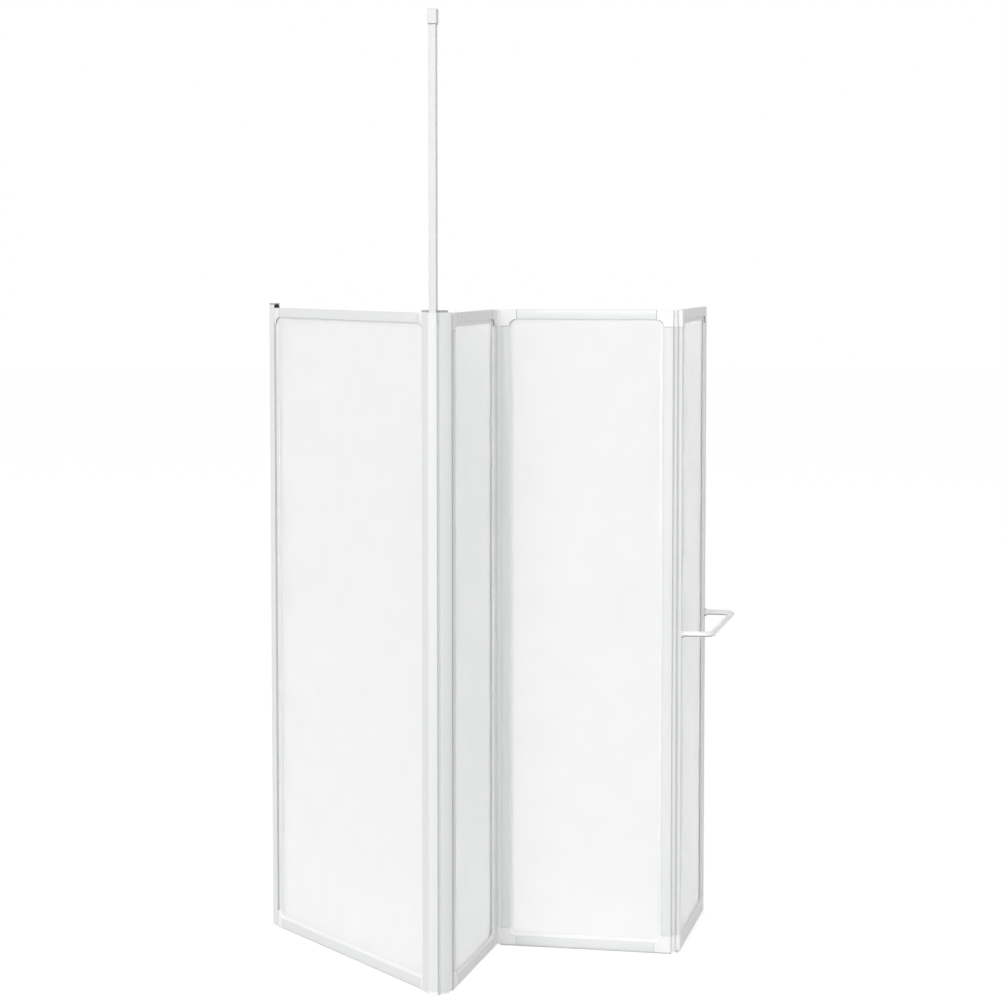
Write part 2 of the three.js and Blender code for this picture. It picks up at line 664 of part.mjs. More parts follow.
// A square head, chamfered at the top, with a spigot in the pole's open end.
function ceilingCap() {
  const base = CEILING_HEIGHT - CEILING_CAP_HEIGHT;
  const reach = CEILING_CAP_SIDE * Math.SQRT1_2;
  const profile = [
    [0, base], [reach, base], [reach, CEILING_HEIGHT - CEILING_CAP_CHAMFER],
    [reach - CEILING_CAP_CHAMFER, CEILING_HEIGHT], [0, CEILING_HEIGHT],
  ].map(([radius, height]) => new THREE.Vector2(radius, height));
  const head = new THREE.LatheGeometry(profile, SQUARE_SIDES);
  head.rotateX(Math.PI / 2);
  const spigotSide = POLE_SIDE - 2 * (POLE_WALL + GAP);
  return toSolid(head).add(diamond(spigotSide, POLE_TOP - CEILING_SPIGOT, base + BITE));
}

function buildScreen() {
  const screen = new THREE.Group();
  screen.name = 'folding_bath_screen';

  // The fixed panel is locked by screws through the inner lips of the wall profile and the post
  const chamberMiddle = (CHAMBER_START + CHAMBER_END) / 2;
  const lockSeat = (x, z) => screwSeat(
    new THREE.Vector3(x, HALF_PROFILE + GAP, z), new THREE.Vector3(0, 1, 0),
  );
  const topSeat = lockSeat(SIDE_PANEL_START + chamberMiddle, SCREEN_HEIGHT - LOCK_SCREW_INSET);
  const bottomSeat = lockSeat(SIDE_PANEL_START + chamberMiddle, FRAME_BASE + LOCK_SCREW_INSET);
  const postSeat = lockSeat(SIDE_PANEL_END - chamberMiddle, SCREEN_HEIGHT - LOCK_SCREW_INSET);
  const wallHoles = [topSeat, bottomSeat].map((seat) => screwHole(seat, LOCK_SCREW_LENGTH));

  screen.add(makeMesh('wall_profile', wallProfile(wallHoles), 'profile'));
  screen.add(makeMesh('wall_profile_cap', wallProfileCap(), 'cap'));
  screen.add(makeMesh('channel_stop', channelStop(), 'rubber'));
  screen.add(buildPanel('panel_1', {
    left: SIDE_PANEL_START,
    right: SIDE_PANEL_END,
    leftSide: 0,
    rightSide: 0,
    leftSection: tongueSection,
    sealLeft: WALL_LIP_X + GAP,
    sealRight: -POST_LIP_REACH - GAP,
    holes: [...wallHoles, screwHole(postSeat, LOCK_SCREW_LENGTH)],
  }));
  screen.add(seatedScrew('wall_lock_screw_top', LOCK_SCREW_LENGTH, topSeat));
  screen.add(seatedScrew('wall_lock_screw_bottom', LOCK_SCREW_LENGTH, bottomSeat));
  screen.add(seatedScrew('post_lock_screw', LOCK_SCREW_LENGTH, postSeat));

  // The post and the folding panels lie in the frame of the straight folding panels
  const foldLine = new THREE.Group();
  foldLine.rotation.z = Math.PI / 2;
  screen.add(foldLine);
  const toFoldLine = new THREE.Matrix4().makeRotationZ(-Math.PI / 2);
  const across = CHAMBER_SIDE / 2 + GAP;
  const clampSeat = screwSeat(
    new THREE.Vector3(
      (across - POLE_SCREW_SHIFT) * Math.SQRT1_2,
      -(across + POLE_SCREW_SHIFT) * Math.SQRT1_2,
      POST_TOP - POLE_SCREW_DROP,
    ),
    new THREE.Vector3(Math.SQRT1_2, -Math.SQRT1_2, 0),
  );
  const clampLength = CHAMBER_WALL + GAP;
  const postHoles = [
    screwHole(postSeat.clone().premultiply(toFoldLine), LOCK_SCREW_LENGTH),
    screwHole(clampSeat, clampLength),
  ];

  foldLine.add(makeMesh('corner_post', cornerPost(postHoles), 'profile'));
  foldLine.add(makeMesh('post_cap', postCap(), 'cap'));
  foldLine.add(makeMesh('post_foot', postFoot(), 'moulding'));
  foldLine.add(makeMesh('ceiling_pole', ceilingPole(), 'profile'));
  foldLine.add(makeMesh('ceiling_cap', ceilingCap(), 'moulding'));
  foldLine.add(makeMesh('hinge_rod_1', hingeRod(POST_HINGE_X, 1), 'steel'));
  foldLine.add(seatedScrew('pole_clamp_screw', clampLength, clampSeat));

  // A chain of panels, each in a group that turns about its hinge axis
  const chain = [
    { name: 'panel_2', side: 1, nextSide: -1, angle: SWING_ANGLE, axisX: POST_HINGE_X },
    { name: 'panel_3', side: -1, nextSide: 1, angle: -OUTER_FOLD_ANGLE, axisX: PANEL_PITCH },
    { name: 'panel_4', side: 1, nextSide: 0, angle: INNER_FOLD_ANGLE, axisX: PANEL_PITCH },
  ];
  let parent = foldLine;
  chain.forEach(({ name, side, nextSide, angle, axisX }, index) => {
    const hinge = new THREE.Group();
    hinge.position.set(axisX, side * HINGE_OFFSET, 0);
    hinge.rotation.z = THREE.MathUtils.degToRad(angle);
    const right = nextSide === 0 ? PANEL_PITCH : PANEL_PITCH - HINGE_REACH;
    const panel = buildPanel(name, {
      left: HINGE_REACH,
      right,
      axisX: PANEL_PITCH,
      leftSide: side,
      rightSide: nextSide,
      leftSection: frameSection,
      sealLeft: HINGE_REACH,
      sealRight: right,
      holes: [],
    });
    panel.position.y = -side * HINGE_OFFSET;
    if (nextSide === 0) {
      const middle = FRAME_WIDTH / 2;
      panel.add(makeMesh('towel_rail', towelRail(HINGE_REACH + middle, right - middle), 'moulding'));
    } else {
      panel.add(makeMesh(`hinge_rod_${index + 2}`, hingeRod(PANEL_PITCH, nextSide), 'steel'));
    }
    hinge.add(panel);
    parent.add(hinge);
    parent = panel;
  });
  return screen;
}

export default buildScreen();
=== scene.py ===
"""Folding bath screen: looks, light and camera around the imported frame.

Metres, +Z up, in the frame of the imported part: the post stands on the origin, the fixed
panel runs along -X to the wall, and the folding panels zigzag along +Y.
"""

import json
import math

import bmesh
import bpy
from mathutils import Matrix, Vector


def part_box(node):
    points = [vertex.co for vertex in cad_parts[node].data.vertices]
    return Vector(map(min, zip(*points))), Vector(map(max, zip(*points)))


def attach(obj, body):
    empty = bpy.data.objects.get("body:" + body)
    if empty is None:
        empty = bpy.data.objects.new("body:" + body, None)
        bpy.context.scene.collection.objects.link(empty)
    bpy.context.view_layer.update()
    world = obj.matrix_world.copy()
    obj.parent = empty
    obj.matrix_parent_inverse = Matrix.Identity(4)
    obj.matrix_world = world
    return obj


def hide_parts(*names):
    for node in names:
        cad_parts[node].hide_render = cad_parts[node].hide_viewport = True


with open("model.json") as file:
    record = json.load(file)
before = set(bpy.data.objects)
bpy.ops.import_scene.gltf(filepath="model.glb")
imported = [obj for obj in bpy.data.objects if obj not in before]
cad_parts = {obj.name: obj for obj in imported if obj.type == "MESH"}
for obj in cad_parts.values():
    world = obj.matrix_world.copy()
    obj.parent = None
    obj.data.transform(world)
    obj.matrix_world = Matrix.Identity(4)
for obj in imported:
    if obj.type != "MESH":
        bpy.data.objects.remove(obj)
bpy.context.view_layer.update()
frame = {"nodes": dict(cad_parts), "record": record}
NODES = frame["nodes"]
RECORD = frame["record"]
MM = 0.001

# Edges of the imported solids, as light catches them
EDGE_ROUND = 0.35 * MM
SOFT_EDGE_ROUND = 0.8 * MM
SHARP_ANGLE = math.radians(32)
FLAT_ANGLE = math.radians(0.3)
WELD_DISTANCE = 0.002 * MM
EDGE_STEPS = 2

# Towel rail
RAIL_RADIUS = 6.25 * MM
RAIL_BEND = 22 * MM
RAIL_FLANGE_THICKNESS = 4 * MM
RAIL_FLANGE_ROUND = 1 * MM
RAIL_FILLET = 1.6 * MM
RAIL_SIDES = 40
# Painted shade on the towel rail: grey on faces that look down, white on faces that look up
RAIL_PAINTED_SHADE = (-0.7, -0.4)  # upward share of the surface's direction where grey turns to white
BEND_STEPS = 14
ROUND_STEPS = 5

# Fillets in the corners of the openings, with painted shade in the upper ones
CORNER_FILLET = 15 * MM
WEDGE_WIDTH = 1.3 * MM
WEDGE_TIP = 0.05 * MM
WEDGE_SINK = 0.4 * MM
WEDGE_STEPS = 12

# Flat lip of the gasket, on the pane around the opening
LIP_START = 1 * MM
LIP_END = 9 * MM
LIP_THICKNESS = 0.2 * MM
LIP_CLEARANCE = 0.05 * MM
LIP_STEPS = 8

# Sloping beads over the gasket, on each sill and on the upright sides of the folding panels' openings; the
# sill's bead is whiter, a painted highlight
SILL_RISE = 6 * MM
SILL_FOOT = 0.4 * MM
SILL_CREST = 0.8 * MM
SILL_TAPER = 0.25
SIDE_SHARE = 0.7

# Rounded rubber stop in the wall profile
STOP_ROUND = 2.6 * MM
STOP_STEP = 0.5 * MM
STOP_BODY_DROP = 0.3 * MM
STOP_TRIM = 1 * MM

# Painted shade over the joints between the corner pieces and the frame lengths
SEAM_WIDTH = 1 * MM
SEAM_TOP_WIDTH = 0.6 * MM
SEAM_HEIGHT = 0.12 * MM
SEAM_SINK = 0.02 * MM
SEAM_INSET = 1.2 * MM

# Strips of painted shade in the recess beside the wall profile
RECESS_DEPTH = 1.2 * MM
RECESS_EDGE = 0.9 * MM
STRIP_MARGIN = 0.3 * MM
STRIP_THICKNESS = 1.0 * MM
STRIP_GROOVE = 0.5 * MM
STRIP_RIBS = 2
RIB_SHARES = (0.1, 0.7, 0.8)

# Ring of painted shade under the ceiling cap
RING_PROUD = 0.9 * MM
RING_HEIGHT = 1.2 * MM
RING_CLEARANCE = 0.1 * MM

# Camera, at the photograph's viewing angle
CAMERA_PLACE = Vector((4.6835, -2.8503, 1.5205))
CAMERA_YAW = math.radians(147.224)
CAMERA_PITCH = math.radians(-4.13)
CAMERA_LENS = 97.2
CAMERA_SENSOR = 36
CAMERA_SHIFT = -0.0525

# Light
WORLD_LEVEL = 0.57
WORLD_SLOPE = 0.15
WORLD_BRIGHT_SIDE = Vector((-0.5, -0.866, 0))
KEY_PLACE = Vector((8.0, -9.6, 5.6))
KEY_TARGET = Vector((-0.2, 0.3, 0.8))
KEY_SIZE = 7.0
KEY_POWER = 850.0
FILL_PLACE = Vector((4.6, 4.6, 1.0))
FILL_TARGET = Vector((-0.2, 0.5, 0.4))
FILL_SIZE = 3.0
FILL_POWER = 10.0
FLOOR_RADIUS = 30.0
FLOOR_SIDES = 96
FLOOR_LIT = (0.92, 0.92, 0.92, 1)
FLOOR_SEEN = (0.4, 0.4, 0.4, 1)
FLOOR_GLOW = 0.76
WHITE = (1, 1, 1, 1)


# Materials


class Shader:
    """A Principled material with procedural detail, built up one feature at a time."""

    def __init__(self, name, roughness, **sockets):
        self.material = bpy.data.materials.new(name)
        self.material.use_nodes = True
        self.tree = self.material.node_tree
        self.surface = self.tree.nodes["Principled BSDF"]
        self.surface.inputs["Roughness"].default_value = roughness
        for socket, value in sockets.items():
            self.surface.inputs[socket.replace("_", " ")].default_value = value
        self.place = self.node("ShaderNodeTexCoord").outputs["Object"]

    def node(self, kind, **values):
        made = self.tree.nodes.new(kind)
        for key, value in values.items():
            if hasattr(made, key):
                setattr(made, key, value)
            else:
                made.inputs[key.replace("_", " ")].default_value = value
        return made

    def link(self, source, target):
        self.tree.links.new(source, target)

    def noise(self, size, detail=2.0):
        """Noise whose features are about this size, in metres."""
        made = self.node("ShaderNodeTexNoise", Scale=1 / size, Detail=detail)
        self.link(self.place, made.inputs["Vector"])
        return made.outputs["Fac"]

    def ramp(self, source, low, high, start=0.0, end=1.0):
        """Maps a value to a number or a colour between two ends."""
        if isinstance(low, tuple):
            made = self.node("ShaderNodeMix", data_type="RGBA")
            made.inputs[6].default_value = (*low, 1)
            made.inputs[7].default_value = (*high, 1)
            self.link(self.ramp(source, 0.0, 1.0, start, end), made.inputs[0])
            return made.outputs[2]
        made = self.node("ShaderNodeMapRange")
        values = {"From Min": start, "From Max": end, "To Min": low, "To Max": high}
        for socket, value in values.items():
            made.inputs[socket].default_value = value
        self.link(source, made.inputs["Value"])
        return made.outputs["Result"]

    def colour(self, source, low, high, start=0.3, end=0.7):
        self.link(self.ramp(source, low, high, start, end), self.surface.inputs["Base Color"])

    def roughness(self, source, low, high, start=0.3, end=0.7):
        self.link(self.ramp(source, low, high, start, end), self.surface.inputs["Roughness"])

    def relief(self, height, depth, strength=1.0):
        """Bump of this depth, in metres, from a height between 0 and 1."""
        made = self.node("ShaderNodeBump", Strength=strength, Distance=depth)
        self.link(height, made.inputs["Height"])
        self.link(made.outputs["Normal"], self.surface.inputs["Normal"])


def powder_coat():
    shader = Shader("powder_coat", 0.36, Specular_IOR_Level=0.5)
    shader.colour(shader.noise(0.35), (0.78, 0.792, 0.787), (0.803, 0.813, 0.809))
    shader.roughness(shader.noise(6 * MM), 0.31, 0.42)
    shader.relief(shader.noise(0.9 * MM, 1.0), 0.02 * MM, 0.6)
    return shader.material


# Painted shade: a darker copy of the powder coat for the pole and its cap, which catch more light high up
def pole_coat_painted_shade():
    shader = Shader("pole_coat_painted_shade", 0.4, Specular_IOR_Level=0.4)
    shader.colour(shader.noise(0.2), (0.722, 0.731, 0.727), (0.745, 0.752, 0.749))
    shader.roughness(shader.noise(5 * MM), 0.34, 0.46)
    shader.relief(shader.noise(0.9 * MM, 1.0), 0.02 * MM, 0.6)
    return shader.material


def moulded_plastic():
    shader = Shader("moulded_plastic", 0.4)
    shader.colour(shader.noise(0.05), (0.873, 0.88, 0.875), (0.896, 0.902, 0.898))
    shader.roughness(shader.noise(4 * MM), 0.36, 0.46)
    shader.relief(shader.noise(0.5 * MM, 1.0), 0.015 * MM, 0.6)
    return shader.material


def grey_plastic():
    shader = Shader("grey_plastic", 0.55)
    shader.colour(shader.noise(0.02), (0.4, 0.41, 0.405), (0.46, 0.468, 0.464))
    shader.roughness(shader.noise(2 * MM), 0.5, 0.62)
    shader.relief(shader.noise(0.5 * MM, 1.0), 0.015 * MM, 0.6)
    return shader.material


def rail_plastic_painted_shade():
    """White plastic with painted shade: grey on its underside, where shade falls."""
    shader = Shader("rail_plastic_painted_shade", 0.24)
    split = shader.node("ShaderNodeSeparateXYZ")
    shader.link(shader.place.node.outputs["Normal"], split.inputs[0])
    # Painted shade: the colour turns from white to grey as the face turns downwards
    shader.colour(split.outputs["Z"], (0.26, 0.264, 0.262), (0.925, 0.93, 0.927), *RAIL_PAINTED_SHADE)
    shader.roughness(shader.noise(9 * MM), 0.2, 0.3)
    return shader.material


def opal_sheet():
    shader = Shader("opal_sheet", 0.8, Transmission_Weight=0.85, IOR=1.12)
    shader.colour(shader.noise(0.06, 3.0), (0.87, 0.876, 0.873), (0.89, 0.895, 0.892))
    pebbles = shader.node("ShaderNodeTexVoronoi", feature="SMOOTH_F1", Scale=1 / (2.2 * MM))
    pebbles.inputs["Smoothness"].default_value = 0.6
    shader.link(shader.place, pebbles.inputs["Vector"])
    shader.relief(pebbles.outputs["Distance"], 0.12 * MM, 0.5)
    return shader.material


def soft_vinyl(name, low, high):
    shader = Shader(name, 0.55)
    shader.colour(shader.noise(0.03), low, high)
    shader.roughness(shader.noise(3 * MM), 0.5, 0.62)
    shader.relief(shader.noise(0.7 * MM, 1.0), 0.02 * MM, 0.5)
    return shader.material


def black_rubber():
    shader = Shader("black_rubber", 0.7)
    shader.colour(shader.noise(2 * MM), (0.012, 0.012, 0.012), (0.022, 0.022, 0.023))
    shader.roughness(shader.noise(1 * MM), 0.62, 0.78)
    shader.relief(shader.noise(0.6 * MM), 0.04 * MM, 0.6)
    return shader.material


def stainless_steel():
    shader = Shader("stainless_steel", 0.3, Metallic=1.0)
    shader.colour(shader.noise(5 * MM), (0.6, 0.61, 0.62), (0.68, 0.69, 0.7))
    shader.roughness(shader.noise(0.4 * MM), 0.22, 0.36)
    return shader.material


# Dark grey for painted shade: the crescents in the upper fillets, the seams at the tops of the frames and
# the ring under the ceiling cap
def painted_shade_vinyl():
    shader = Shader("painted_shade_vinyl", 0.6)
    shader.colour(shader.noise(4 * MM), (0.22, 0.223, 0.223), (0.28, 0.284, 0.284))
    shader.roughness(shader.noise(1 * MM), 0.52, 0.68)
    return shader.material


MATERIALS = {
    "profile": powder_coat(),
    "moulding": moulded_plastic(),
    "rail": rail_plastic_painted_shade(),
    "pane": opal_sheet(),
    "gasket": soft_vinyl("gasket_vinyl", (0.78, 0.79, 0.78), (0.82, 0.83, 0.82)),
    "seal": soft_vinyl("seal_vinyl", (0.66, 0.675, 0.665), (0.72, 0.73, 0.72)),
    "rubber": black_rubber(),
    "steel": stainless_steel(),
    "cap": grey_plastic(),
}
# The pole and its cap take the darker copy of the powder coat, as painted shade
OWN_MATERIALS = dict.fromkeys(("ceiling_pole", "ceiling_cap"), pole_coat_painted_shade())
PAINTED_SHADE_DARK = painted_shade_vinyl()
PALE_VINYL = soft_vinyl("pale_vinyl", (0.87, 0.88, 0.873), (0.89, 0.9, 0.895))
# Near-white vinyl for the painted highlight on the sills
PAINTED_HIGHLIGHT_WHITE = soft_vinyl("painted_highlight_vinyl", (0.955, 0.96, 0.957), (0.97, 0.975, 0.972))
# Mid grey for painted shade: the seams at the sills and the strips in the recess beside the wall profile
PAINTED_SHADE_GREY = soft_vinyl("painted_shade_grey_vinyl", (0.5, 0.515, 0.51), (0.56, 0.572, 0.568))


# Edges


def weld_group():
    """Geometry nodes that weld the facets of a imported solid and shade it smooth."""
    group = bpy.data.node_groups.new("weld_and_smooth", "GeometryNodeTree")
    group.interface.new_socket("Geometry", in_out="INPUT", socket_type="NodeSocketGeometry")
    group.interface.new_socket("Geometry", in_out="OUTPUT", socket_type="NodeSocketGeometry")
    start = group.nodes.new("NodeGroupInput")
    weld = group.nodes.new("GeometryNodeMergeByDistance")
    weld.inputs["Distance"].default_value = WELD_DISTANCE
    bare = group.nodes.new("GeometryNodeRemoveAttribute")
    bare.inputs["Name"].default_value = "custom_normal"
    free = group.nodes.new("GeometryNodeSetShadeSmooth")
    free.domain = "EDGE"
    smooth = group.nodes.new("GeometryNodeSetShadeSmooth")
    end = group.nodes.new("NodeGroupOutput")
    chain = [start, weld, bare, free, smooth, end]
    for one, following in zip(chain, chain[1:]):
        group.links.new(one.outputs[0], following.inputs[0])
    return group


WELD = weld_group()


def round_edges(piece, width):
    weld = piece.modifiers.new("weld", "NODES")
    weld.node_group = WELD
    flat = piece.modifiers.new("flat", "DECIMATE")
    flat.decimate_type = "DISSOLVE"
    flat.angle_limit = FLAT_ANGLE
    bevel = piece.modifiers.new("edges", "BEVEL")
    bevel.width = width
    bevel.segments = EDGE_STEPS
    bevel.limit_method = "ANGLE"
    bevel.angle_limit = SHARP_ANGLE
    bevel.harden_normals = True


SLOT_EDGES = {
    "profile": EDGE_ROUND,
    "moulding": SOFT_EDGE_ROUND,
    "seal": EDGE_ROUND,
    "gasket": EDGE_ROUND,
    "cap": SOFT_EDGE_ROUND,
}
for entry in RECORD["subparts"]:
    node = NODES[entry["node"]]
    slot = entry["material_slot"]
    node.material_slots[0].material = OWN_MATERIALS.get(entry["node"], MATERIALS[slot])
    if slot in SLOT_EDGES:
        round_edges(node, SLOT_EDGES[slot])


# Places


def headings():
    """The way that each panel runs, from the joints: each stands straight at its lower limit."""
    found = {"panel_1": 0.0}
    heading = math.pi / 2
    for joint in RECORD["behaviour"]["joints"]:
        if joint["type"] == "hinge":
            heading -= math.radians(joint["range_deg"][0]) * joint["axis"][2]
            found[joint["child"]] = heading
    return found


HEADINGS = headings()


def panel_frame(panel):
    """The middle of a panel's thickness and width, with x along it and y towards its inner face."""
    low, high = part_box(panel + "_top_rail")
    middle = (Vector(low) + Vector(high)) / 2
    middle.z = 0
    return Matrix.Translation(middle) @ Matrix.Rotation(HEADINGS[panel], 4, "Z")


def extent(node, place):
    """Lowest and highest corners of a node, seen in a frame of its own."""
    back = place.inverted()
    corners = [back @ vertex.co for vertex in NODES[node].data.vertices]
    return [Vector(pick(axis) for axis in zip(*corners)) for pick in (min, max)]


def add_piece(name, verts, faces, place, material):
    data = bpy.data.meshes.new(name)
    data.from_pydata([place @ Vector(vert) for vert in verts], [], faces)
    data.materials.append(material)
    shape = bmesh.new()
    shape.from_mesh(data)
    bmesh.ops.recalc_face_normals(shape, faces=shape.faces)
    shape.to_mesh(data)
    shape.free()
    piece = bpy.data.objects.new(name, data)
    bpy.context.scene.collection.objects.link(piece)
    return piece


def skin(rings, closed_ends=True):
    """Vertices and faces of a tube through rings that have the same number of points."""
    count = len(rings[0])
    verts = [point for ring in rings for point in ring]
    faces = []
    for start in range(0, len(verts) - count, count):
        for one in range(count):
            other = (one + 1) % count
            faces.append((start + one, start + other, start + count + other, start + count + one))
    if closed_ends:
        faces.append(tuple(reversed(range(count))))
        faces.append(tuple(range(len(verts) - count, len(verts))))
    return verts, faces


def smooth(piece):
    for face in piece.data.polygons:
        face.use_smooth = True
    piece.modifiers.new("normals", "WEIGHTED_NORMAL")


# Pieces


def towel_rail():
    """A round bar with a rounded flange at each end, in place of the faceted one."""
    place = panel_frame("panel_4")
    low, high = extent("towel_rail", place)
    flange = (high.z - low.z) / 2
    level = (high.z + low.z) / 2
    near, far = low.x + flange, high.x - flange
    bar = low.y + RAIL_RADIUS
    turn = bar + RAIL_BEND
    round_share = [step / ROUND_STEPS * math.pi / 2 for step in range(ROUND_STEPS + 1)]
    ends = [(0.0, flange / 2)]
    ends += [
        (RAIL_FLANGE_ROUND * (1 - math.cos(a)), flange - RAIL_FLANGE_ROUND * (1 - math.sin(a)))
        for a in round_share
    ]
    ends += [
        (RAIL_FLANGE_THICKNESS - RAIL_FLANGE_ROUND * (1 - math.sin(a)),
         flange - RAIL_FLANGE_ROUND * (1 - math.cos(a)))
        for a in round_share
    ]
    ends += [
        (RAIL_FLANGE_THICKNESS + RAIL_FILLET * (1 - math.cos(a)),
         RAIL_RADIUS + RAIL_FILLET * (1 - math.sin(a)))
        for a in round_share
    ]
    stations = [((near, high.y - depth), -math.pi / 2, radius) for depth, radius in ends]
    stations += arc(near + RAIL_BEND, turn, math.pi, -math.pi / 2)
    stations += arc(far - RAIL_BEND, turn, 3 * math.pi / 2, 0)
    stations += [((far, high.y - depth), math.pi / 2, radius) for depth, radius in reversed(ends)]
    angles = [2 * math.pi * step / RAIL_SIDES for step in range(RAIL_SIDES)]
    rings = []
    for (x, y), heading, radius in stations:
        side = Vector((math.sin(heading), -math.cos(heading), 0))
        centre = Vector((x, y, level))
        rings.append([
            centre + radius * (math.cos(a) * side + Vector((0, 0, math.sin(a)))) for a in angles
        ])
    piece = add_piece("smooth_towel_rail", *skin(rings), place, MATERIALS["rail"])
    smooth(piece)
    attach(piece, "panel_4")
    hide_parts("towel_rail")


def arc(centre_x, centre_y, start, heading):
    """Stations of the bar's quarter turn, with the way the bar runs at each."""
    made = []
    for step in range(BEND_STEPS + 1):
        turned = step / BEND_STEPS * math.pi / 2
        x = centre_x + RAIL_BEND * math.cos(start + turned)
        y = centre_y + RAIL_BEND * math.sin(start + turned)
        made.append(((x, y), heading + turned, RAIL_RADIUS))
    return made


def closed_loop(rings):
    """Vertices and faces of a ring whose last cross-section joins its first."""
    verts, faces = skin(rings + rings[:1], closed_ends=False)
    verts = verts[:-len(rings[0])]
    return verts, [tuple(index % len(verts) for index in face) for face in faces]


def rounded_outline(left, right, low, high, radius, steps):
    """Points round a rectangle with rounded corners."""
    centres = [
        (right - radius, high - radius), (left + radius, high - radius),
        (left + radius, low + radius), (right - radius, low + radius),
    ]
    points = []
    for corner, (x, y) in enumerate(centres):
        for step in range(steps + 1):
            angle = (corner + step / steps) * math.pi / 2
            points.append((x + radius * math.cos(angle), y + radius * math.sin(angle)))
    return points


def opening(panel, place):
    """The inner edges of a panel's frame: left, right, bottom and top."""
    left = extent(panel + "_left_stile", place)[1].x
    right = extent(panel + "_right_stile", place)[0].x
    bottom = extent(panel + "_bottom_rail", place)[1].z
    top = extent(panel + "_top_rail", place)[0].z
    return left, right, bottom, top


def gasket_lip(panel, body):
    """A thin pale lip from under the bead onto the pane, all round an opening."""
    place = panel_frame(panel)
    left, right, bottom, top = opening(panel, place)
    back = extent(panel + "_pane", place)[0].y - LIP_CLEARANCE
    front = back - LIP_THICKNESS
    outer, inner = [
        rounded_outline(
            left + inset, right - inset, bottom + inset, top - inset, CORNER_FILLET - inset, LIP_STEPS,
        )
        for inset in (LIP_START, LIP_END)
    ]
    rings = [
        [(x, front, z), (inner_x, front, inner_z), (inner_x, back, inner_z), (x, back, z)]
        for (x, z), (inner_x, inner_z) in zip(outer, inner)
    ]
    piece = add_piece(f"{panel}_gasket_lip", *closed_loop(rings), place, PALE_VINYL)
    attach(piece, body)


def painted_shade_corner_wedges(panel, body):
    """Dark vinyl crescents on the gasket in the two upper fillets of an opening: painted shade where the
    fillet meets the pane.
    """
    place = panel_frame(panel)
    left, right, bottom, top = opening(panel, place)
    floor = extent(panel + "_gasket", place)[0].y
    face = extent(panel + "_top_rail", place)[0].y + WEDGE_SINK
    centre_z = top - CORNER_FILLET
    for name, x, across in (("top_left", left, 1), ("top_right", right, -1)):
        centre_x = x + across * CORNER_FILLET
        rings = []
        for step in range(WEDGE_STEPS + 1):
            angle = step / WEDGE_STEPS * math.pi / 2
            inner = CORNER_FILLET - WEDGE_WIDTH * math.sin(2 * angle) - WEDGE_TIP
            ring = []
            for radius, y in (
                (CORNER_FILLET, face), (inner, face), (inner, floor), (CORNER_FILLET, floor),
            ):
                ring.append((
                    centre_x - across * radius * math.cos(angle), y, centre_z + radius * math.sin(angle),
                ))
            rings.append(ring)
        # Painted shade in the fillet, as a dark crescent
        piece = add_piece(f"{panel}_{name}_wedge", *skin(rings), place, PAINTED_SHADE_DARK)
        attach(piece, body)


def frame_beads(panel, body):
    """A white bead, a painted highlight, that slopes from the pane to the lower rail's face, and pale ones
    up the sides.
    """
    place = panel_frame(panel)
    left, right, bottom, top = opening(panel, place)
    back = extent(panel + "_pane", place)[0].y - LIP_CLEARANCE
    face = extent(panel + "_top_rail", place)[0].y + WEDGE_SINK
    section = [
        (back, 0.0), (back, SILL_RISE), (back - SILL_CREST, SILL_RISE), (face, SILL_FOOT), (face, 0.0),
    ]
    centre_z = bottom + CORNER_FILLET
    folds = panel != "panel_1"
    share_side = SIDE_SHARE if folds else SILL_TAPER
    rings = []
    for centre_x, start, share_start, share_end in (
        (left + CORNER_FILLET, math.pi, share_side, 1.0),
        (right - CORNER_FILLET, 1.5 * math.pi, 1.0, share_side),
    ):
        for step in range(WEDGE_STEPS + 1):
            angle = start + step / WEDGE_STEPS * math.pi / 2
            share = share_start + (share_end - share_start) * step / WEDGE_STEPS
            rings.append([
                (centre_x + (CORNER_FILLET - share * rise) * math.cos(angle), y,
                 centre_z + (CORNER_FILLET - share * rise) * math.sin(angle))
                for y, rise in section
            ])
    # The sill's bead takes the whitest vinyl: a painted highlight where light falls on the sill
    shapes = {"sill": (rings, PAINTED_HIGHLIGHT_WHITE)}
    for name, x, inward in (("left", left, 1), ("right", right, -1)) if folds else ():
        rings = [
            [(x + inward * SIDE_SHARE * rise, y, z) for y, rise in section]
            for z in (centre_z, top - CORNER_FILLET)
        ]
        shapes[name] = (rings, PALE_VINYL)
    for name, (rings, material) in shapes.items():
        piece = add_piece(f"{panel}_{name}_bead", *skin(rings), place, material)
        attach(piece, body)


def painted_shade_seams(panel, body):
    """Thin bars over the joints in a frame, on both faces, coloured as painted shade: dark at the top and
    grey at the sill.
    """
    place = panel_frame(panel)
    left, right, bottom, top = opening(panel, place)
    low, high = extent(panel + "_top_rail", place)
    width = high.z - low.z
    stile_low, stile_high = extent(panel + "_left_stile", place)
    across, along = Vector((1, 0, 0)), Vector((0, 0, 1))
    upper = [(Vector((x, 0, top + width / 2)), along, across) for x in (low.x, high.x)]
    lower = [(Vector((x, 0, bottom - width / 2)), along, across) for x in (low.x, high.x)]
    if panel != "panel_1":
        for x in (left - width / 2, right + width / 2):
            upper.append((Vector((x, 0, stile_high.z)), across, along))
            lower.append((Vector((x, 0, stile_low.z)), across, along))
    # Painted shade: dark bars over the upper joints, grey bars over the lower ones
    for name, lines, material in (("upper", upper, PAINTED_SHADE_DARK), ("lower", lower, PAINTED_SHADE_GREY)):
        bars = seam_lines(lines, low.y, high.y, width)
        piece = add_piece(f"{panel}_{name}_seams", *bars, place, material)
        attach(piece, body)


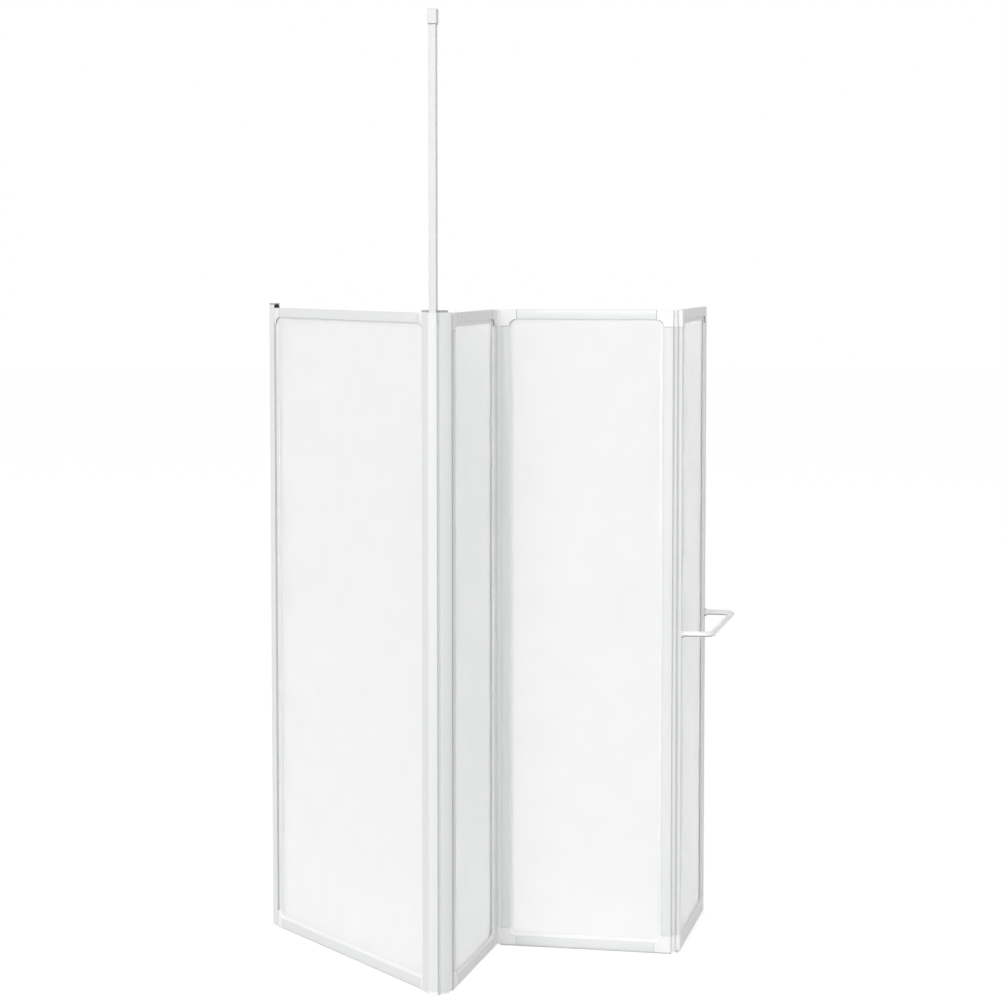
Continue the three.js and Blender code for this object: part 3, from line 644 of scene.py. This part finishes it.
def seam_lines(lines, outer, inner, width):
    """Vertices and faces of thin bars that lie over lines on both faces of a frame."""
    outline = [
        (-SEAM_WIDTH / 2, -SEAM_SINK), (-SEAM_TOP_WIDTH / 2, SEAM_HEIGHT),
        (SEAM_TOP_WIDTH / 2, SEAM_HEIGHT), (SEAM_WIDTH / 2, -SEAM_SINK),
    ]
    verts, faces = [], []
    for middle, run, over in lines:
        for face in (outer, inner):
            side = math.copysign(1, face)
            rings = []
            for end in (SEAM_INSET - width / 2, width / 2 - SEAM_INSET):
                rings.append([
                    middle + end * run + step * over + Vector((0, face + side * rise, 0))
                    for step, rise in outline
                ])
            more_verts, more_faces = skin(rings)
            faces += [tuple(index + len(verts) for index in shape) for shape in more_faces]
            verts += more_verts
    return verts, faces


def painted_shade_recess_strips():
    """Ribbed grey strips in the recess of the stile beside the wall profile, on both faces: painted shade
    in the recess.
    """
    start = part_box("wall_profile")[1][0] + STRIP_MARGIN
    low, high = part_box("panel_1_left_stile")
    width = high[0] - RECESS_EDGE - start
    rise, fall, foot = RIB_SHARES
    ribs = [(0.0, 0.0)]
    pitch = width / STRIP_RIBS
    for rib in range(STRIP_RIBS):
        ribs += [
            ((rib + rise) * pitch, STRIP_THICKNESS), ((rib + fall) * pitch, STRIP_THICKNESS),
            ((rib + foot) * pitch, STRIP_GROOVE), ((rib + 1) * pitch, STRIP_GROOVE),
        ]
    ribs += [(width, 0.0)]
    for name, side in (("outer", -1), ("inner", 1)):
        floor = (abs(low[1]) - RECESS_DEPTH) * side
        rings = [
            [(start + along, floor + side * height, z) for along, height in ribs] for z in (low[2], high[2])
        ]
        piece = add_piece(f"recess_strip_{name}", *skin(rings), Matrix.Identity(4), PAINTED_SHADE_GREY)
        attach(piece, "fixed_frame")


def rubber_stop():
    """A soft-cornered stop, in place of the square one: its body in the channel, its nose in front."""
    low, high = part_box("channel_stop")
    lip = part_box("wall_profile")[1][0]
    body_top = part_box("wall_profile")[1][2] - STOP_BODY_DROP
    stations = [(low[0], body_top, 0.0), (lip, body_top, 0.0), (lip + STOP_STEP, high[2], 0.0)]
    for step in range(ROUND_STEPS):
        angle = step / ROUND_STEPS * math.pi / 2
        stations.append((
            high[0] - STOP_ROUND * (1 - math.sin(angle)), high[2], STOP_ROUND * (1 - math.cos(angle)),
        ))
    rings = []
    for x, top, inset in stations:
        points = rounded_outline(
            low[1] + STOP_TRIM + inset, high[1] - STOP_TRIM - inset, low[2] + inset, top - inset,
            STOP_ROUND - inset, ROUND_STEPS,
        )
        rings.append([(x, y, z) for y, z in points])
    piece = add_piece("rounded_channel_stop", *skin(rings), Matrix.Identity(4), MATERIALS["rubber"])
    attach(piece, "fixed_frame")
    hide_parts("channel_stop")


def painted_shade_cap_ring():
    """A dark ring round the pole, under its cap: painted shade in the gap between cap and pole."""
    low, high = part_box("ceiling_pole")
    top = high[2]
    reach = high[0]
    inner = reach + RING_CLEARANCE
    outer = reach + RING_PROUD * math.sqrt(2)
    rings = []
    for step in range(4):
        angle = step * math.pi / 2
        x, y = math.cos(angle), math.sin(angle)
        foot = top - RING_HEIGHT
        rings.append([
            (inner * x, inner * y, foot), (outer * x, outer * y, foot),
            (outer * x, outer * y, top), (inner * x, inner * y, top),
        ])
    piece = add_piece("painted_shade_cap_ring", *closed_loop(rings), Matrix.Identity(4), PAINTED_SHADE_DARK)
    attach(piece, "pole")


towel_rail()
for panel in HEADINGS:
    body = "fixed_frame" if panel == "panel_1" else panel
    gasket_lip(panel, body)
    painted_shade_corner_wedges(panel, body)
    frame_beads(panel, body)
    painted_shade_seams(panel, body)
painted_shade_recess_strips()
rubber_stop()
painted_shade_cap_ring()


# Stage


def aim(piece, target):
    piece.rotation_mode = "QUATERNION"
    piece.rotation_quaternion = (target - piece.location).to_track_quat("-Z", "Y")


def seen_by_eye(tree):
    """1 for what the camera, a reflection or clear plastic sees, and 0 for light on the object."""
    path = tree.nodes.new("ShaderNodeLightPath")
    total = path.outputs["Is Camera Ray"]
    for name in ("Is Glossy Ray", "Is Transmission Ray"):
        most = tree.nodes.new("ShaderNodeMath")
        most.operation = "MAXIMUM"
        tree.links.new(total, most.inputs[0])
        tree.links.new(path.outputs[name], most.inputs[1])
        total = most.outputs[0]
    return total


def pale_floor():
    bpy.ops.mesh.primitive_circle_add(vertices=FLOOR_SIDES, radius=FLOOR_RADIUS, fill_type="NGON")
    floor = bpy.context.object
    floor.name = "floor"
    material = bpy.data.materials.new("pale_floor")
    material.use_nodes = True
    tree = material.node_tree
    tree.nodes.clear()
    lit = tree.nodes.new("ShaderNodeBsdfDiffuse")
    lit.inputs["Color"].default_value = FLOOR_LIT
    bright = tree.nodes.new("ShaderNodeBsdfDiffuse")
    bright.inputs["Color"].default_value = FLOOR_SEEN
    glow = tree.nodes.new("ShaderNodeEmission")
    glow.inputs["Strength"].default_value = FLOOR_GLOW
    add = tree.nodes.new("ShaderNodeAddShader")
    mix = tree.nodes.new("ShaderNodeMixShader")
    end = tree.nodes.new("ShaderNodeOutputMaterial")
    tree.links.new(bright.outputs[0], add.inputs[0])
    tree.links.new(glow.outputs[0], add.inputs[1])
    tree.links.new(seen_by_eye(tree), mix.inputs[0])
    tree.links.new(lit.outputs[0], mix.inputs[1])
    tree.links.new(add.outputs[0], mix.inputs[2])
    tree.links.new(mix.outputs[0], end.inputs[0])
    floor.data.materials.append(material)


def white_world():
    world = bpy.data.worlds.new("studio")
    bpy.context.scene.world = world
    world.use_nodes = True
    tree = world.node_tree
    tree.nodes.clear()
    light = tree.nodes.new("ShaderNodeBackground")
    place = tree.nodes.new("ShaderNodeTexCoord")
    side = tree.nodes.new("ShaderNodeVectorMath")
    side.operation = "DOT_PRODUCT"
    side.inputs[1].default_value = WORLD_BRIGHT_SIDE
    level = tree.nodes.new("ShaderNodeMapRange")
    values = {
        "From Min": -1, "From Max": 1,
        "To Min": WORLD_LEVEL * (1 - WORLD_SLOPE), "To Max": WORLD_LEVEL * (1 + WORLD_SLOPE),
    }
    for socket, value in values.items():
        level.inputs[socket].default_value = value
    tree.links.new(place.outputs["Generated"], side.inputs[0])
    tree.links.new(side.outputs["Value"], level.inputs["Value"])
    tree.links.new(level.outputs["Result"], light.inputs["Strength"])
    seen = tree.nodes.new("ShaderNodeBackground")
    mix = tree.nodes.new("ShaderNodeMixShader")
    end = tree.nodes.new("ShaderNodeOutputWorld")
    for background in (light, seen):
        background.inputs["Color"].default_value = WHITE
    tree.links.new(seen_by_eye(tree), mix.inputs[0])
    tree.links.new(light.outputs[0], mix.inputs[1])
    tree.links.new(seen.outputs[0], mix.inputs[2])
    tree.links.new(mix.outputs[0], end.inputs[0])


def soft_light(name, place, target, size, power):
    data = bpy.data.lights.new(name, "AREA")
    data.energy = power
    data.size = size
    lamp = bpy.data.objects.new(name, data)
    bpy.context.scene.collection.objects.link(lamp)
    lamp.location = place
    aim(lamp, target)


def photo_camera():
    data = bpy.data.cameras.new("camera")
    data.lens = CAMERA_LENS
    data.sensor_width = CAMERA_SENSOR
    data.shift_y = CAMERA_SHIFT
    camera = bpy.data.objects.new("camera", data)
    bpy.context.scene.collection.objects.link(camera)
    camera.location = CAMERA_PLACE
    level = math.cos(CAMERA_PITCH)
    towards = Vector((
        level * math.cos(CAMERA_YAW), level * math.sin(CAMERA_YAW), math.sin(CAMERA_PITCH),
    ))
    aim(camera, CAMERA_PLACE + towards)
    bpy.context.scene.camera = camera


pale_floor()
white_world()
soft_light("key", KEY_PLACE, KEY_TARGET, KEY_SIZE, KEY_POWER)
soft_light("fill", FILL_PLACE, FILL_TARGET, FILL_SIZE, FILL_POWER)
photo_camera()
bpy.context.scene.view_settings.view_transform = "Standard"
